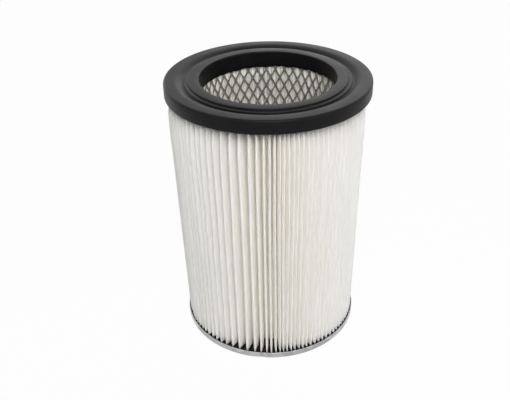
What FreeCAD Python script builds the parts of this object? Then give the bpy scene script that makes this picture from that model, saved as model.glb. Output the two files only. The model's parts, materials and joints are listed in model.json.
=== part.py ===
import FreeCAD, Part
import math
import os

os.makedirs("parts", exist_ok=True)

# Pleated cartridge filter, standing on its closed end.
# Millimetres, +Z up, origin at the centre of the pan's underside.

# Overall height, and the moulded ring cap at the open end, from its bore outwards
total_height = 235.5
cap_thickness = 11.7
bore_radius = 56.0
seal_land_width = 9.5
seal_step = 1.5
ledge_width = 3.2
ledge_step = 1.2
valley_width = 1.3
valley_slope_width = 4.5
flange_width = 10.5
flange_drop = 0.2
bore_edge_radius = 1.0
flange_edge_radius = 2.0
cap_low_edge_radius = 0.8

# Folded filter sheet: a closed ring of pleats under the flange, a little wider at the cap
pleat_count = 100
sheet_thickness = 0.8
cap_overhang = 3.1
pleat_flare = 4.0

# Expanded metal tube that the pleats lean on
core_bore_clearance = 0.6
core_sheet = 1.0
core_pleat_clearance = 0.2
mesh_columns = 13
mesh_rows = 8
mesh_strand = 2.6

# Pressed steel pan that closes the bottom, and the compound cast in its channel
pan_sheet = 0.6
pan_rim_height = 6.0
pan_pleat_clearance = 0.3
pan_corner_radius = 1.4
core_bed_width = 5.6
stud_hole_radius = 6.0
potting_drop = 1.2

# Flat facets that make up one rounded edge
wide_round_facets = 2
small_round_facets = 1

# Heights and radii that follow
land_outer_radius = bore_radius + seal_land_width
ledge_outer_radius = land_outer_radius + ledge_width
valley_outer_radius = ledge_outer_radius + valley_width
flange_inner_radius = valley_outer_radius + valley_slope_width
cap_outer_radius = flange_inner_radius + flange_width
cap_underside = total_height - cap_thickness
potting_top = pan_rim_height - potting_drop
core_inner_radius = bore_radius + core_bore_clearance
core_outer_radius = core_inner_radius + core_sheet
pleat_inner_radius = core_outer_radius + core_pleat_clearance
pleat_top_radius = cap_outer_radius - cap_overhang
pleat_bottom_radius = pleat_top_radius - pleat_flare
pan_inner_radius = pleat_bottom_radius + pan_pleat_clearance
pan_outer_radius = pan_inner_radius + pan_sheet
channel_inner_radius = core_inner_radius - core_bed_width


def polar(radius, angle, height):
    return FreeCAD.Vector(radius * math.cos(angle), radius * math.sin(angle), height)


def closed_wire(corners):
    return Part.makePolygon(corners + corners[:1])


def rounded(before, corner, after, radius, facets):
    """Points along a round of the given radius at one (radius, height) profile corner."""
    middle = FreeCAD.Vector(corner[0], 0, corner[1])
    toward = (FreeCAD.Vector(before[0], 0, before[1]) - middle).normalize()
    onward = (FreeCAD.Vector(after[0], 0, after[1]) - middle).normalize()
    half_angle = toward.getAngle(onward) / 2
    centre = middle + (toward + onward).normalize() * (radius / math.sin(half_angle))
    first = middle + toward * (radius / math.tan(half_angle)) - centre
    last = middle + onward * (radius / math.tan(half_angle)) - centre
    sweep = first.getAngle(last)
    points = []
    for facet in range(facets + 1):
        turned = sweep * facet / facets
        spoke = first * (math.sin(sweep - turned) / math.sin(sweep))
        spoke += last * (math.sin(turned) / math.sin(sweep))
        points.append(((centre + spoke).x, (centre + spoke).z))
    return points


def ring_from_profile(profile, rounds):
    """Solid of revolution about Z from (radius, height) corners.

    rounds gives (edge radius, facets) for each corner number that is rounded.
    """
    outline = []
    for number, corner in enumerate(profile):
        if number in rounds:
            before = profile[number - 1]
            after = profile[(number + 1) % len(profile)]
            outline += rounded(before, corner, after, *rounds[number])
        else:
            outline.append(corner)
    points = [FreeCAD.Vector(radius, 0, height) for radius, height in outline]
    return Part.Face(closed_wire(points)).revolve(FreeCAD.Vector(0, 0, 0), FreeCAD.Vector(0, 0, 1), 360)


def make_top_cap():
    """Moulded ring: raised seal land at the bore, stepped valley, rounded flange."""
    ledge_top = total_height - seal_step
    valley_floor = ledge_top - ledge_step
    flange_top = total_height - flange_drop
    profile = [
        (bore_radius, cap_underside),
        (cap_outer_radius, cap_underside),
        (cap_outer_radius, flange_top),
        (flange_inner_radius, flange_top),
        (valley_outer_radius, valley_floor),
        (ledge_outer_radius, valley_floor),
        (ledge_outer_radius, ledge_top),
        (land_outer_radius, ledge_top),
        (land_outer_radius, total_height),
        (bore_radius, total_height),
    ]
    rounds = {
        1: (cap_low_edge_radius, small_round_facets),
        2: (flange_edge_radius, wide_round_facets),
        9: (bore_edge_radius, small_round_facets),
    }
    return ring_from_profile(profile, rounds)


def pleat_outlines(scale, height):
    """Corners of the sheet's outer and inner outlines at one height, scaled about the axis.

    Each fold is tight: flat on the outside over two sheets, sharp on the inside.
    """
    pitch = 2 * math.pi / pleat_count
    outer_fold = sheet_thickness / pleat_bottom_radius
    inner_fold = sheet_thickness / pleat_inner_radius
    outer_radius = pleat_bottom_radius * scale
    inner_radius = pleat_inner_radius * scale
    thickness = sheet_thickness * scale
    outside = []
    inside = []
    for pleat in range(pleat_count):
        tip = pleat * pitch
        root = tip + pitch / 2
        outside.append(polar(outer_radius, tip - outer_fold, height))
        outside.append(polar(outer_radius, tip + outer_fold, height))
        outside.append(polar(inner_radius + thickness, root, height))
        inside.append(polar(outer_radius - thickness, tip, height))
        inside.append(polar(inner_radius, root - inner_fold, height))
        inside.append(polar(inner_radius, root + inner_fold, height))
    return outside, inside


def folded_walls(low, high):
    """One flat face for each side of a fold, from its edge below to its edge above."""
    walls = []
    for here in range(len(low)):
        before = here - 1
        walls.append(Part.Face(closed_wire([low[before], low[here], high[here], high[before]])))
    return walls


def make_pleated_media():
    """One closed folded sheet, from its bottom outline to the wider top outline."""
    low_outside, low_inside = pleat_outlines(1, potting_top)
    high_outside, high_inside = pleat_outlines(pleat_top_radius / pleat_bottom_radius, cap_underside)
    faces = folded_walls(low_outside, high_outside) + folded_walls(low_inside, high_inside)
    faces.append(Part.Face(closed_wire(low_outside)).cut(Part.Face(closed_wire(low_inside))).Faces[0])
    faces.append(Part.Face(closed_wire(high_outside)).cut(Part.Face(closed_wire(high_inside))).Faces[0])
    return Part.Solid(Part.Shell(faces))


def diamond_cutter(angle, height, cell_width, cell_height):
    """Prism that opens one diamond, leaving a strand's width to its neighbours.

    It runs from outside the tube's wall to halfway between the wall and the axis.
    """
    half_width = cell_width / 2
    half_height = cell_height / 2
    reach = half_width * half_height / math.hypot(half_width, half_height)
    share = (reach - mesh_strand / 2) / reach
    start_radius = core_outer_radius + core_sheet
    end_radius = core_inner_radius / 2
    outward = FreeCAD.Vector(math.cos(angle), math.sin(angle), 0)
    along = FreeCAD.Vector(-math.sin(angle), math.cos(angle), 0) * (half_width * share)
    upward = FreeCAD.Vector(0, 0, half_height * share)
    centre = outward * start_radius + FreeCAD.Vector(0, 0, height)
    corners = [centre + along, centre + upward, centre - along, centre - upward]
    return Part.Face(closed_wire(corners)).extrude(outward * (end_radius - start_radius))


def make_core():
    """Expanded metal tube: staggered upright diamonds, cut through at both ends.

    The strands run straight from knuckle to knuckle, so the wall has a flat for each half cell.
    """
    length = cap_underside - potting_top
    half_columns = 2 * mesh_columns
    column_pitch = 2 * math.pi / mesh_columns
    flats = []
    for radius in (core_outer_radius, core_inner_radius):
        corners = [polar(radius, side * column_pitch / 2, potting_top) for side in range(half_columns)]
        flats.append(Part.Face(closed_wire(corners)))
    wall = flats[0].cut(flats[1])
    tube = wall.extrude(FreeCAD.Vector(0, 0, length))
    row_pitch = length / (mesh_rows - 1)
    cell_width = column_pitch * core_outer_radius
    cutters = []
    for row in range(mesh_rows):
        height = potting_top + row * row_pitch
        for column in range(mesh_columns):
            angle = (column + row % 2 / 2) * column_pitch
            cutters.append(diamond_cutter(angle, height, cell_width, 2 * row_pitch))
    return tube.cut(cutters)


def make_bottom_pan():
    """Pressed pan: upright rim, flat channel floor, raised centre with a stud hole."""
    wall_inner_radius = channel_inner_radius - pan_sheet
    centre_underside = pan_rim_height - pan_sheet
    profile = [
        (stud_hole_radius, pan_rim_height),
        (stud_hole_radius, centre_underside),
        (wall_inner_radius, centre_underside),
        (wall_inner_radius, 0),
        (pan_outer_radius, 0),
        (pan_outer_radius, pan_rim_height),
        (pan_inner_radius, pan_rim_height),
        (pan_inner_radius, pan_sheet),
        (channel_inner_radius, pan_sheet),
        (channel_inner_radius, pan_rim_height),
    ]
    rounds = {
        4: (pan_corner_radius, small_round_facets),
        7: (pan_corner_radius - pan_sheet, small_round_facets),
    }
    return ring_from_profile(profile, rounds)


def make_potting():
    """Compound cast level in the pan's channel, rounded where the pan is."""
    profile = [
        (channel_inner_radius, pan_sheet),
        (pan_inner_radius, pan_sheet),
        (pan_inner_radius, potting_top),
        (channel_inner_radius, potting_top),
    ]
    return ring_from_profile(profile, {1: (pan_corner_radius - pan_sheet, small_round_facets)})


nodes = {
    "top_cap": make_top_cap(),
    "pleated_media": make_pleated_media(),
    "core_mesh": make_core(),
    "bottom_pan": make_bottom_pan(),
    "potting": make_potting(),
}

for name, shape in nodes.items():
    shape.exportStep("parts/" + name + ".step")
    print(name, "solids", len(shape.Solids), "valid", shape.isValid(), "volume", round(shape.Volume, 1))
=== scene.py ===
import json
import math
import random

import bmesh
import bpy
from mathutils import Matrix, Vector, noise


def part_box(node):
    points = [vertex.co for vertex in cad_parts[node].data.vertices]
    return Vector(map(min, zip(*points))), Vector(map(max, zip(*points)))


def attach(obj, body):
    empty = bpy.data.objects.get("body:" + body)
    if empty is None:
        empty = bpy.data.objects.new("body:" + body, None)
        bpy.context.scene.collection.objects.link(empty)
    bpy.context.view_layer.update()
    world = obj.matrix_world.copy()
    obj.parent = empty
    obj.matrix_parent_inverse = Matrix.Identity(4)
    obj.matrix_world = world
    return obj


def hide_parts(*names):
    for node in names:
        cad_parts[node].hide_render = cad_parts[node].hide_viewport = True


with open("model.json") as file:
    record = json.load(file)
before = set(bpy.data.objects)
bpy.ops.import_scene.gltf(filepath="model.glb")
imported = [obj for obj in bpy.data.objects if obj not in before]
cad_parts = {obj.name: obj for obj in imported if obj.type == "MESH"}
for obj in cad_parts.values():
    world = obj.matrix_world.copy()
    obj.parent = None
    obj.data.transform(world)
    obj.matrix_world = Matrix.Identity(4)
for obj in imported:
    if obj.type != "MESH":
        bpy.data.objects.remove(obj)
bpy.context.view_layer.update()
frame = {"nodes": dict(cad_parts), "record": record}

mmPerMetre = 1000
mountRadius = {}
for mount in frame["record"]["mounts"]:
    if "r_mm" in mount["dims"]:
        mountRadius[mount["name"]] = mount["dims"]["r_mm"] / mmPerMetre
print("frame loaded:", sorted(frame["nodes"]))


# small helpers for meshes

meshing = {
    "smoothAngle": 40,  # degrees, sharper edges stay crisp
    "mergeDistance": 1e-6,
}


def newPiece(name, bm, material, node=None):
    mesh = bpy.data.meshes.new(name)
    bm.to_mesh(mesh)
    bm.free()
    mesh.materials.append(material)
    piece = bpy.data.objects.new(name, mesh)
    bpy.context.scene.collection.objects.link(piece)
    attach(piece, "root")
    if node:
        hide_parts(node)
    print("piece", name, len(mesh.polygons), "faces")
    return piece


def shadeSmooth(piece, degrees):
    piece.data.polygons.foreach_set("use_smooth", [True] * len(piece.data.polygons))
    piece.data.set_sharp_from_angle(angle=math.radians(degrees))


# a closed outline of (radius, height) corners, spun about Z
# a rounded corner also gives its rounding and how many segments that has
def spunRing(corners, steps):
    bm = bmesh.new()
    points = [bm.verts.new((radius, 0, height)) for radius, height, *rounding in corners]
    bm.faces.new(points)
    for point, (radius, height, *rounding) in zip(points, corners):
        if rounding:
            offset, segments = rounding
            bmesh.ops.bevel(bm, geom=[point], offset=offset, affect='VERTICES',
                            segments=segments, profile=0.5, material=-1)
    bmesh.ops.delete(bm, geom=list(bm.faces), context='FACES_ONLY')
    bmesh.ops.spin(bm, geom=list(bm.verts) + list(bm.edges), cent=(0, 0, 0), axis=(0, 0, 1),
                   dvec=(0, 0, 0), angle=2 * math.pi, steps=steps, use_merge=True, use_duplicate=False)
    bmesh.ops.remove_doubles(bm, verts=list(bm.verts), dist=meshing["mergeDistance"])
    bmesh.ops.recalc_face_normals(bm, faces=list(bm.faces))
    return bm


# a smooth hump that is 1 at its middle and fades on both sides
def hump(value, middle, spread):
    return math.exp(-((value - middle) / spread) ** 2)


# small helpers for materials

def newMaterial(name):
    material = bpy.data.materials.new(name)
    material.use_nodes = True
    tree = material.node_tree
    coords = tree.nodes.new("ShaderNodeTexCoord")
    return material, tree, tree.nodes["Principled BSDF"], coords


# clouds of a (scale, detail) pair, squeezed along each axis by stretch
def noiseNode(tree, coords, clouds, stretch=(1, 1, 1)):
    scale, detail = clouds
    mapping = tree.nodes.new("ShaderNodeMapping")
    mapping.inputs["Scale"].default_value = stretch
    tree.links.new(coords.outputs["Object"], mapping.inputs["Vector"])
    texture = tree.nodes.new("ShaderNodeTexNoise")
    texture.inputs["Scale"].default_value = scale
    texture.inputs["Detail"].default_value = detail
    tree.links.new(mapping.outputs["Vector"], texture.inputs["Vector"])
    return texture.outputs["Fac"]


def rampNode(tree, source, places, colours):
    ramp = tree.nodes.new("ShaderNodeValToRGB")
    for element, place, colour in zip(ramp.color_ramp.elements, places, colours):
        element.position = place
        element.color = colour
    tree.links.new(source, ramp.inputs["Fac"])
    return ramp.outputs["Color"]


def tintRamp(tree, source, look):
    return rampNode(tree, source, look["tintPlaces"], (look["dark"], look["pale"]))


def roughRamp(tree, source, look):
    greys = [(rough, rough, rough, 1) for rough in look["rough"]]
    return rampNode(tree, source, look["roughPlaces"], greys)


def bumpNode(tree, source, strength, distance):
    bump = tree.nodes.new("ShaderNodeBump")
    bump.inputs["Strength"].default_value = strength
    bump.inputs["Distance"].default_value = distance
    tree.links.new(source, bump.inputs["Height"])
    return bump.outputs["Normal"]


def dressShader(tree, shader, tint, normal, rough=None):
    tree.links.new(tint, shader.inputs["Base Color"])
    tree.links.new(normal, shader.inputs["Normal"])
    if rough:
        tree.links.new(rough, shader.inputs["Roughness"])


# finishes: clouds and grains are (scale, detail), places are where a ramp's two ends lie

rubberLook = {
    "dark": (0.0056, 0.0054, 0.0058, 1),
    "pale": (0.0082, 0.0078, 0.0084, 1),
    "tintPlaces": (0.35, 0.70),
    "specular": 0.106,
    "rough": (0.36, 0.46),
    "roughPlaces": (0.3, 0.7),
    "cloud": (38, 4),
    "grain": (2600, 2),
    "grainBump": 0.10,
    "grainDepth": 0.00010,
}


def mouldedRubber():
    look = rubberLook
    material, tree, shader, coords = newMaterial("mouldedRubber")
    cloud = noiseNode(tree, coords, look["cloud"])
    grain = noiseNode(tree, coords, look["grain"])
    normal = bumpNode(tree, grain, look["grainBump"], look["grainDepth"])
    dressShader(tree, shader, tintRamp(tree, cloud, look), normal, roughRamp(tree, cloud, look))
    shader.inputs["Specular IOR Level"].default_value = look["specular"]
    return material


sheetLook = {
    "dark": (0.941, 0.926, 0.891, 1),
    "pale": (0.958, 0.951, 0.928, 1),
    "tintPlaces": (0.35, 0.65),
    "roughness": 0.85,
    "specular": 0.15,
    "streak": (60, 5),
    "streakStretch": (1, 1, 0.12),  # long streaks up and down the pleats
    "fibre": (1500, 4),
    "fibreBump": 0.22,
    "fibreDepth": 0.00015,
}


def filterSheet():
    look = sheetLook
    material, tree, shader, coords = newMaterial("filterSheet")
    streak = noiseNode(tree, coords, look["streak"], look["streakStretch"])
    fibre = noiseNode(tree, coords, look["fibre"])
    normal = bumpNode(tree, fibre, look["fibreBump"], look["fibreDepth"])
    dressShader(tree, shader, tintRamp(tree, streak, look), normal)
    shader.inputs["Roughness"].default_value = look["roughness"]
    shader.inputs["Specular IOR Level"].default_value = look["specular"]
    return material


meshLook = {
    "dark": (0.252, 0.239, 0.184, 1),
    "pale": (0.414, 0.396, 0.322, 1),
    "tintPlaces": (0.35, 0.68),
    "metal": 0.5,
    "rough": (0.45, 0.65),
    "roughPlaces": (0.3, 0.7),
    "spot": (420, 3),
    "drawn": (900, 2),
    "drawnStretch": (1, 1, 0.3),
    "drawnBump": 0.12,
    "drawnDepth": 0.00008,
}


def galvanisedMesh():
    look = meshLook
    material, tree, shader, coords = newMaterial("galvanisedMesh")
    spots = noiseNode(tree, coords, look["spot"])
    drawn = noiseNode(tree, coords, look["drawn"], look["drawnStretch"])
    normal = bumpNode(tree, drawn, look["drawnBump"], look["drawnDepth"])
    dressShader(tree, shader, tintRamp(tree, spots, look), normal, roughRamp(tree, spots, look))
    shader.inputs["Metallic"].default_value = look["metal"]
    return material


panLook = {
    "dark": (0.360, 0.360, 0.365, 1),
    "pale": (0.540, 0.540, 0.540, 1),
    "tintPlaces": (0.15, 0.85),
    "metal": 1.0,
    "rough": (0.30, 0.48),
    "roughPlaces": (0.3, 0.7),
    "spangleScale": 130,
    "roll": (260, 4),
    "rollStretch": (1, 1, 2.5),
    "rollBump": 0.08,
    "rollDepth": 0.00010,
}


def galvanisedSheet():
    look = panLook
    material, tree, shader, coords = newMaterial("galvanisedSheet")
    spangle = tree.nodes.new("ShaderNodeTexVoronoi")
    spangle.inputs["Scale"].default_value = look["spangleScale"]
    tree.links.new(coords.outputs["Object"], spangle.inputs["Vector"])
    rolled = noiseNode(tree, coords, look["roll"], look["rollStretch"])
    tint = tintRamp(tree, spangle.outputs["Color"], look)
    normal = bumpNode(tree, rolled, look["rollBump"], look["rollDepth"])
    dressShader(tree, shader, tint, normal, roughRamp(tree, rolled, look))
    shader.inputs["Metallic"].default_value = look["metal"]
    return material


pottingLook = {
    "dark": (0.0045, 0.0045, 0.0048, 1),
    "pale": (0.0100, 0.0098, 0.0096, 1),
    "tintPlaces": (0.35, 0.70),
    "specular": 0.20,
    "rough": (0.35, 0.60),
    "roughPlaces": (0.3, 0.7),
    "flow": (90, 3),
    "flowBump": 0.30,
    "flowDepth": 0.0006,
}


def pottingCompound():
    look = pottingLook
    material, tree, shader, coords = newMaterial("pottingCompound")
    flow = noiseNode(tree, coords, look["flow"])
    normal = bumpNode(tree, flow, look["flowBump"], look["flowDepth"])
    dressShader(tree, shader, tintRamp(tree, flow, look), normal, roughRamp(tree, flow, look))
    shader.inputs["Specular IOR Level"].default_value = look["specular"]
    return material


# moulded ring cap

ringCap = {
    "landWidth": 0.0095,
    "landStep": 0.0015,
    "ledgeWidth": 0.0032,
    "ledgeStep": 0.0012,
    "valleyWidth": 0.0013,
    "slopeWidth": 0.0045,
    "flangeDrop": 0.0002,
    "boreRound": (0.0010, 5),  # rounds are (size, segments)
    "landRound": (0.0008, 3),
    "ledgeRound": (0.00055, 3),
    "footRound": (0.00055, 2),
    "valleyRound": (0.0008, 5),
    "crestRound": (0.0024, 5),
    "edgeRound": (0.0020, 8),
    "lowRound": (0.0008, 3),
    "steps": 224,
}


def buildRingCap(material):
    low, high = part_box("top_cap")
    size = ringCap
    bore = mountRadius["cage_bore"]
    outer = high.x
    landOuter = bore + size["landWidth"]
    ledgeOuter = landOuter + size["ledgeWidth"]
    valleyOuter = ledgeOuter + size["valleyWidth"]
    crest = valleyOuter + size["slopeWidth"]
    ledgeTop = high.z - size["landStep"]
    valleyFloor = ledgeTop - size["ledgeStep"]
    flangeTop = high.z - size["flangeDrop"]
    corners = [
        (bore, low.z),
        (outer, low.z, *size["lowRound"]),
        (outer, flangeTop, *size["edgeRound"]),
        (crest, flangeTop, *size["crestRound"]),
        (valleyOuter, valleyFloor, *size["valleyRound"]),
        (ledgeOuter, valleyFloor, *size["footRound"]),
        (ledgeOuter, ledgeTop, *size["ledgeRound"]),
        (landOuter, ledgeTop, *size["footRound"]),
        (landOuter, high.z, *size["landRound"]),
        (bore, high.z, *size["boreRound"]),
    ]
    bm = spunRing(corners, size["steps"])
    piece = newPiece("ringCap", bm, material, "top_cap")
    shadeSmooth(piece, meshing["smoothAngle"])


# uneven edge of rubber that ran down over the top of the core when the cap was cast

castEdge = {
    "inset": 0.0003,
    "depth": 0.0026,
    "lean": 0.0017,  # shorter on the right, longer on the left
    "edgeRound": (0.0005, 2),
    "ragged": 0.0014,
    "raggedScale": 260,
    "leastShare": 0.12,
    "steps": 240,
}


def buildCastEdge(material):
    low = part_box("top_cap")[0]
    size = castEdge
    inside = mountRadius["cage_bore"] + size["inset"]
    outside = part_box("core_mesh")[1].x
    bottom = low.z - size["depth"]
    corners = [
        (inside, low.z),
        (inside, bottom, *size["edgeRound"]),
        (outside, bottom, *size["edgeRound"]),
        (outside, low.z),
    ]
    bm = spunRing(corners, size["steps"])
    for vert in bm.verts:
        around = Vector((vert.co.x, vert.co.y, 0)).normalized() * inside
        ragged = size["ragged"] * noise.noise(around * size["raggedScale"])
        rise = size["lean"] * around.x / inside + ragged
        share = max(1 - rise / size["depth"], size["leastShare"])
        vert.co.z = low.z - (low.z - vert.co.z) * share
    piece = newPiece("castEdge", bm, material)
    shadeSmooth(piece, meshing["smoothAngle"])


# folded filter sheet, one closed ring of uneven pleats

pleats = {
    "sheet": 0.0005,
    "innerGap": 0.0003,
    "topInset": 0.0003,
    "bottomInset": 0.0017,
    # bulge below the cap, and the way the top leans and draws in under it
    "swell": 0.0005,
    "swellAt": 0.90,
    "swellSpread": 0.09,
    "offCentre": -0.0013,
    "tuck": 0.0028,
    "tuckReach": 0.05,
    # rows of points up the sheet, closer together near the pan
    "levels": 22,
    "levelBias": 1.6,
    "levelTolerance": 1e-7,
    # how much the outer folds narrow at the pan and at the cap
    "pinch": 0.62,
    "pinchReach": 0.030,
    "topPinch": 0.45,
    "topPinchReach": 0.040,
    # rounds at the folds, as shares of half a pleat, slimmer at the front
    "tipShare": 0.28,
    "slimAt": -2.0,
    "slimSpread": 9.0,
    "slimLoss": 0.10,
    "rootShare": 0.78,
    "foldPoints": 5,
    "foldTurn": 80,
    # degrees from fold to fold, with a wide stretch and a tight one
    "pitch": 3.6,
    "wideAt": -21.0,
    "wideSpread": 14.0,
    "wideGain": 0.58,
    "tightAt": 8.0,
    "tightSpread": 20.0,
    "tightLoss": 0.30,
    "pitchJitter": 0.06,
    # small unevenness from pleat to pleat
    "radiusJitter": 0.0003,
    "sway": 0.0003,
    "fewestWaves": 0.5,
    "mostWaves": 1.1,
    "bow": 0.0003,
    "smoothAngle": 60,
    "seed": 11,
}


# angle of each outer fold, in degrees from the front, all the way round
def foldAngles():
    size = pleats
    draw = random.Random(size["seed"])
    angles = [-180.0]
    while angles[-1] < 180:
        wide = size["wideGain"] * hump(angles[-1], size["wideAt"], size["wideSpread"])
        tight = size["tightLoss"] * hump(angles[-1], size["tightAt"], size["tightSpread"])
        step = 1 + wide - tight + draw.uniform(-1, 1) * size["pitchJitter"]
        angles.append(angles[-1] + size["pitch"] * step)
    share = 360 / (angles[-1] + 180)
    return [(angle + 180) * share - 180 for angle in angles]


# points round the sheet: (angle, depth share, drop from the fold, sideways, pleat, bow)
# the depth share is 1 at an outer fold and 0 at an inner one
def pleatOutline(angles, inner, outer):
    size = pleats
    half = size["foldPoints"] // 2
    turns = [math.radians(size["foldTurn"]) * step / half for step in range(-half, half + 1)]
    halfway = 0.5  # depth share in the middle of a wall
    outline = []
    before = angles[-2] - 360
    for pleat, (tip, after) in enumerate(zip(angles, angles[1:])):
        root = (tip + after) / 2
        slim = size["slimLoss"] * hump(tip, size["slimAt"], size["slimSpread"])
        tipSpace = math.radians(min(tip - before, after - tip)) / 2 * outer
        rootSpace = math.radians(after - tip) / 2 * inner
        tipRound = size["tipShare"] * (1 - slim) * tipSpace
        rootRound = size["rootShare"] * rootSpace
        for turn in turns:
            drop = tipRound * (1 - math.cos(turn))
            outline.append((tip, 1, drop, tipRound * math.sin(turn), pleat, 0))
        outline.append(((tip + root) / 2, halfway, 0, 0, pleat, 1))
        for turn in turns:
            drop = rootRound * (math.cos(turn) - 1)
            outline.append((root, 0, drop, rootRound * math.sin(turn), pleat, 0))
        outline.append(((root + after) / 2, halfway, 0, 0, pleat + 1, -1))
        before = tip
    return outline


def buildPleats(material):
    low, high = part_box("pleated_media")
    size = pleats
    draw = random.Random(size["seed"] + 1)
    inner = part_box("core_mesh")[1].x + size["innerGap"] + size["sheet"] / 2
    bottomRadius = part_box("bottom_pan")[1].x - size["bottomInset"]
    topRadius = high.x - size["topInset"]
    angles = foldAngles()
    outline = pleatOutline(angles, inner, bottomRadius)
    # each pleat's own phase and count of waves, lean of its walls and reach of its fold
    habits = []
    for pleat in range(len(angles) - 1):
        phase = draw.uniform(0, 2 * math.pi)
        waves = draw.uniform(size["fewestWaves"], size["mostWaves"])
        habits.append((phase, waves, draw.uniform(-1, 1), draw.uniform(-1, 1)))
    habits.append(habits[0])
    print("pleats", len(angles) - 1)

    # where a point of the outline stands at a share of the sheet's height
    def place(point, share):
        angle, depth, drop, sideways, pleat, bow = outline[point]
        phase, waves, lean, reach = habits[pleat]
        outer = bottomRadius + (topRadius - bottomRadius) * share
        outer += size["swell"] * hump(share, size["swellAt"], size["swellSpread"])
        outer += size["radiusJitter"] * reach
        outer += size["offCentre"] * math.sin(math.radians(angle)) * share
        outer -= size["tuck"] * math.exp((share - 1) / size["tuckReach"])
        radius = inner + (outer - inner) * depth - drop
        if depth == 1:
            sideways *= 1 - size["pinch"] * math.exp(-share / size["pinchReach"])
            sideways *= 1 - size["topPinch"] * math.exp((share - 1) / size["topPinchReach"])
        swaying = math.sin(2 * math.pi * waves * share + phase) - math.sin(phase) * (1 - share)
        sideways += size["sway"] * swaying * depth
        sideways += size["bow"] * bow * lean * math.sin(math.pi * share)
        turn = math.radians(angle) + sideways / radius
        height = low.z + (high.z - low.z) * share
        return Vector((radius * math.sin(turn), -radius * math.cos(turn), height))

    bm = bmesh.new()
    pointLayer = bm.verts.layers.int.new("point")
    ring = []
    for point in range(len(outline)):
        vert = bm.verts.new(place(point, 0))
        vert[pointLayer] = point
        ring.append(vert)
    edges = [bm.edges.new(pair) for pair in zip(ring, ring[1:] + ring[:1])]
    for level in range(1, size["levels"] + 1):
        share = (level / size["levels"]) ** size["levelBias"]
        made = bmesh.ops.extrude_edge_only(bm, edges=edges)["geom"]
        for vert in (item for item in made if isinstance(item, bmesh.types.BMVert)):
            vert.co = place(vert[pointLayer], share)
        # only the level edges go on up
        edges = []
        for edge in (item for item in made if isinstance(item, bmesh.types.BMEdge)):
            if abs(edge.verts[0].co.z - edge.verts[1].co.z) < size["levelTolerance"]:
                edges.append(edge)
    bmesh.ops.recalc_face_normals(bm, faces=list(bm.faces))
    piece = newPiece("pleatedSheet", bm, material, "pleated_media")
    thick = piece.modifiers.new("sheetThickness", "SOLIDIFY")
    thick.thickness = size["sheet"]
    thick.offset = 0
    shadeSmooth(piece, size["smoothAngle"])


# expanded metal core: a tube of upright diamonds with tilted strands

coreTube = {
    "columns": 44,
    "rows": 15,
    "cell": 0.0151,
    "knuckle": 0.0018,
    "bulge": 0.00036,
    "bulgeCuts": 2,
    "metal": 0.0006,
    "tilt": 0.00035,
    "turn": 5.35,  # degrees, sets the diamonds against the front
    "gridHalf": 0.5,  # half the side of the flat grid, before it is rolled up
    "seamDistance": 1e-5,
}


def buildCore(material):
    low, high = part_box("core_mesh")
    size = coreTube
    radius = high.x - size["metal"] - size["tilt"]
    half = size["gridHalf"]
    bm = bmesh.new()
    cornerLayer = bm.verts.layers.int.new("corner")
    bmesh.ops.create_grid(bm, x_segments=size["columns"], y_segments=size["rows"], size=half)
    for vert in bm.verts:
        vert[cornerLayer] = 1
    for vert in bmesh.ops.poke(bm, faces=list(bm.faces))["verts"]:
        vert[cornerLayer] = 0
    # roll the flat grid into a tube that reaches past both ends of the core
    for vert in bm.verts:
        turn = 2 * math.pi * (vert.co.x + half) + math.radians(size["turn"])
        level = (vert.co.y + half) * size["rows"] * size["cell"]
        vert.co = (radius * math.sin(turn), -radius * math.cos(turn), level)
    bmesh.ops.remove_doubles(bm, verts=list(bm.verts), dist=size["seamDistance"])
    # without the sides of its squares, the poked grid is a tube of diamonds
    squares = []
    for edge in bm.edges:
        if edge.verts[0][cornerLayer] and edge.verts[1][cornerLayer] and len(edge.link_faces) == 2:
            squares.append(edge)
    bmesh.ops.dissolve_edges(bm, edges=squares, use_verts=False)
    bmesh.ops.recalc_face_normals(bm, faces=list(bm.faces))
    diamonds = list(bm.faces)
    bmesh.ops.inset_individual(bm, faces=diamonds, thickness=size["knuckle"] / 2, use_even_offset=True)
    # bow the four sides of each opening outwards, which thins the strands between their knuckles
    sides = [edge for diamond in diamonds for edge in diamond.edges]
    centres = {diamond: diamond.calc_center_median() for diamond in diamonds}
    made = bmesh.ops.subdivide_edges(bm, edges=sides, cuts=size["bulgeCuts"])["geom_inner"]
    for vert in (item for item in made if isinstance(item, bmesh.types.BMVert)):
        for face in vert.link_faces:
            if face in centres:
                vert.co += (vert.co - centres[face]).normalized() * size["bulge"]
    # tilt the strands: the top of each opening leans out and its foot leans in
    for diamond in diamonds:
        for vert in diamond.verts:
            outward = Vector((vert.co.x, vert.co.y, 0)).normalized()
            vert.co += outward * (size["tilt"] * 2 * (vert.co.z - centres[diamond].z) / size["cell"])
    bmesh.ops.delete(bm, geom=diamonds, context='FACES')
    for end, facing in ((low.z, -1), (high.z, 1)):
        whole = list(bm.verts) + list(bm.edges) + list(bm.faces)
        bmesh.ops.bisect_plane(bm, geom=whole, plane_co=(0, 0, end), plane_no=(0, 0, facing),
                               clear_outer=True)
    # a negative thickness leaves the shell inside out, so it is turned round
    bmesh.ops.solidify(bm, geom=list(bm.faces), thickness=-size["metal"])
    bmesh.ops.reverse_faces(bm, faces=list(bm.faces))
    newPiece("expandedCore", bm, material, "core_mesh")


# pressed bottom pan

pressedPan = {
    "sheet": 0.0006,
    "cornerRound": 0.0014,
    "cornerSegments": 7,
    "innerCornerSegments": 5,
    "rimRound": (0.00025, 3),
    "holeRound": (0.0002, 2),
    "channelRadius": 0.0510,
    "channelRound": 0.0010,
    "channelSegments": 5,
    "innerChannelSegments": 4,
    "dentAt": -6.0,  # degrees from the front
    "dentWidth": 0.0045,
    "dentDepth": 0.0006,
    "steps": 224,
}


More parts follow.
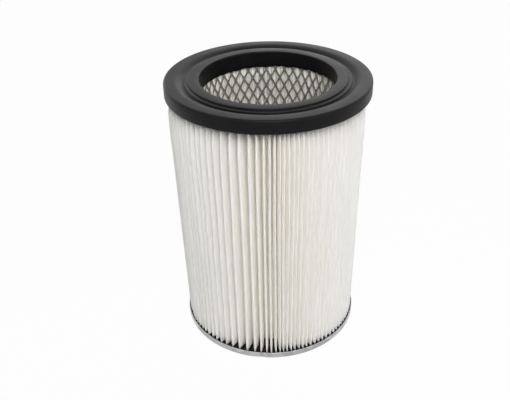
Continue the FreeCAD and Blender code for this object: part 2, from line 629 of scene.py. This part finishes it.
def buildPan(material):
    low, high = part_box("bottom_pan")
    size = pressedPan
    sheet = size["sheet"]
    hole = mountRadius["stud_hole"]
    channel = size["channelRadius"]
    inside = high.x - sheet
    outerCorner = (size["cornerRound"], size["cornerSegments"])
    innerCorner = (size["cornerRound"] - sheet, size["innerCornerSegments"])
    outerBend = (size["channelRound"], size["channelSegments"])
    innerBend = (size["channelRound"] - sheet, size["innerChannelSegments"])
    corners = [
        (hole, high.z, *size["holeRound"]),
        (hole, high.z - sheet, *size["holeRound"]),
        (channel - sheet, high.z - sheet, *innerBend),
        (channel - sheet, low.z, *outerBend),
        (high.x, low.z, *outerCorner),
        (high.x, high.z, *size["rimRound"]),
        (inside, high.z, *size["rimRound"]),
        (inside, low.z + sheet, *innerCorner),
        (channel, low.z + sheet, *innerBend),
        (channel, high.z, *outerBend),
    ]
    bm = spunRing(corners, size["steps"])
    turn = math.radians(size["dentAt"])
    dent = Vector((high.x * math.sin(turn), -high.x * math.cos(turn), low.z))
    for vert in bm.verts:
        vert.co.z += size["dentDepth"] * hump((vert.co - dent).length, 0, size["dentWidth"])
    piece = newPiece("pressedPan", bm, material, "bottom_pan")
    shadeSmooth(piece, meshing["smoothAngle"])


# potting compound, with a low meniscus at the pan's walls

pottingBed = {
    "meniscus": 0.0005,
    "meniscusSegments": 3,
    "cornerSegments": 4,
    "wallGap": 0.00005,
    "steps": 224,
}


def buildPotting(material):
    low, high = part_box("potting")
    size = pottingBed
    inside = pressedPan["channelRadius"] + size["wallGap"]
    outside = high.x - size["wallGap"]
    foot = low.z + size["wallGap"]
    rise = size["meniscus"]
    footRound = (pressedPan["cornerRound"] - pressedPan["sheet"], size["cornerSegments"])
    riseRound = (rise, size["meniscusSegments"])
    corners = [
        (inside, foot),
        (outside, foot, *footRound),
        (outside, high.z + rise),
        (outside - 2 * rise, high.z, *riseRound),
        (inside + 2 * rise, high.z, *riseRound),
        (inside, high.z + rise),
    ]
    bm = spunRing(corners, size["steps"])
    piece = newPiece("pottingBed", bm, material, "potting")
    shadeSmooth(piece, meshing["smoothAngle"])


# floor, light and camera

studio = {
    "floorReach": 6.0,
    "floorDrop": 0.0002,  # keeps the floor clear of the pan's underside
    "floorColour": (0.86, 0.86, 0.86, 1),
    "floorWhite": 0.96,
    "worldLight": 0.09,
    "white": (1, 1, 1, 1),
    "aim": (0, 0, 0.12),
    "bounces": 24,  # light has to bounce many times to reach down between the pleats
}

lights = {
    "keyLight": {"power": 9.8, "place": (0.16, -1.26, 1.12), "size": 0.65},
    "topLight": {"power": 5.0, "place": (0.05, -0.70, 1.40), "size": 0.7},
    "sideLight": {"power": 3.2, "place": (1.15, -0.60, 0.70), "size": 0.7},
    "fillLight": {"power": 1.2, "place": (-1.15, -0.50, 0.60), "size": 0.7},
    "rimLight": {"power": 12.0, "place": (0.60, 1.40, 1.10), "size": 1.8},
    "backLight": {"power": 6.0, "place": (-1.00, 1.20, 0.70), "size": 1.4},
}


def mathNode(tree, operation):
    node = tree.nodes.new("ShaderNodeMath")
    node.operation = operation
    return node


# 1 for rays that should meet plain white: camera, mirror and glass rays
def whiteRays(tree):
    path = tree.nodes.new("ShaderNodeLightPath")
    first = mathNode(tree, 'MAXIMUM')
    second = mathNode(tree, 'MAXIMUM')
    tree.links.new(path.outputs["Is Camera Ray"], first.inputs[0])
    tree.links.new(path.outputs["Is Glossy Ray"], first.inputs[1])
    tree.links.new(first.outputs[0], second.inputs[0])
    tree.links.new(path.outputs["Is Transmission Ray"], second.inputs[1])
    return second.outputs[0]


# mixes a plain shader with a white one, by the share of white rays, into the output
def mixWhite(tree, share, plain, white, output):
    mix = tree.nodes.new("ShaderNodeMixShader")
    tree.links.new(share, mix.inputs["Fac"])
    tree.links.new(plain.outputs[0], mix.inputs[1])
    tree.links.new(white.outputs[0], mix.inputs[2])
    tree.links.new(mix.outputs[0], tree.nodes[output].inputs["Surface"])


def buildFloor():
    bm = bmesh.new()
    bmesh.ops.create_grid(bm, x_segments=1, y_segments=1, size=studio["floorReach"])
    bmesh.ops.translate(bm, verts=list(bm.verts), vec=(0, 0, -studio["floorDrop"]))
    mesh = bpy.data.meshes.new("studioFloor")
    bm.to_mesh(mesh)
    bm.free()
    floor = bpy.data.objects.new("studioFloor", mesh)
    bpy.context.scene.collection.objects.link(floor)
    material = bpy.data.materials.new("paleFloor")
    material.use_nodes = True
    tree = material.node_tree
    shader = tree.nodes["Principled BSDF"]
    shader.inputs["Base Color"].default_value = studio["floorColour"]
    shader.inputs["Roughness"].default_value = 1.0
    shader.inputs["Specular IOR Level"].default_value = 0.0
    share = mathNode(tree, 'MULTIPLY')
    share.inputs[1].default_value = studio["floorWhite"]
    tree.links.new(whiteRays(tree), share.inputs[0])
    white = tree.nodes.new("ShaderNodeEmission")
    mixWhite(tree, share.outputs[0], shader, white, "Material Output")
    mesh.materials.append(material)


def buildWorld():
    world = bpy.data.worlds.new("studioWorld")
    world.use_nodes = True
    bpy.context.scene.world = world
    tree = world.node_tree
    soft = tree.nodes["Background"]
    soft.inputs["Color"].default_value = studio["white"]
    soft.inputs["Strength"].default_value = studio["worldLight"]
    white = tree.nodes.new("ShaderNodeBackground")
    white.inputs["Color"].default_value = studio["white"]
    white.inputs["Strength"].default_value = 1.0
    mixWhite(tree, whiteRays(tree), soft, white, "World Output")


def buildLights():
    for name, light in lights.items():
        lamp = bpy.data.lights.new(name, 'AREA')
        lamp.energy = light["power"]
        lamp.size = light["size"]
        box = bpy.data.objects.new(name, lamp)
        box.location = light["place"]
        toward = Vector(studio["aim"]) - Vector(light["place"])
        box.rotation_euler = toward.to_track_quat('-Z', 'Y').to_euler()
        bpy.context.scene.collection.objects.link(box)


# the photo's view: degrees down from level, aside and round the line of sight
view = {
    "distance": 0.5515,
    "height": 0.45655,
    "tilt": 31.615,
    "aside": 1.32,
    "roll": 1.33,
    "focalPixels": 721.0,
    "imageWidth": 510,
    "sensor": 36.0,
}


def buildCamera():
    camera = bpy.data.cameras.new("photoView")
    camera.sensor_width = view["sensor"]
    camera.lens = view["focalPixels"] / view["imageWidth"] * view["sensor"]
    holder = bpy.data.objects.new("photoView", camera)
    bpy.context.scene.collection.objects.link(holder)
    placed = Matrix.Translation((0, -view["distance"], view["height"]))
    turned = Matrix.Rotation(math.radians(view["aside"]), 4, 'Z')
    tilted = Matrix.Rotation(math.radians(90 - view["tilt"]), 4, 'X')  # unturned, it looks straight down
    rolled = Matrix.Rotation(math.radians(-view["roll"]), 4, 'Z')
    holder.matrix_world = placed @ turned @ tilted @ rolled
    bpy.context.scene.camera = holder


rubber = mouldedRubber()
buildRingCap(rubber)
buildCastEdge(rubber)
buildPleats(filterSheet())
buildCore(galvanisedMesh())
buildPan(galvanisedSheet())
buildPotting(pottingCompound())
print("pieces built")

buildFloor()
buildWorld()
buildLights()
buildCamera()
bpy.context.scene.view_settings.view_transform = 'Standard'
bpy.context.scene.cycles.max_bounces = studio["bounces"]
bpy.context.scene.cycles.diffuse_bounces = studio["bounces"]
print("studio built")
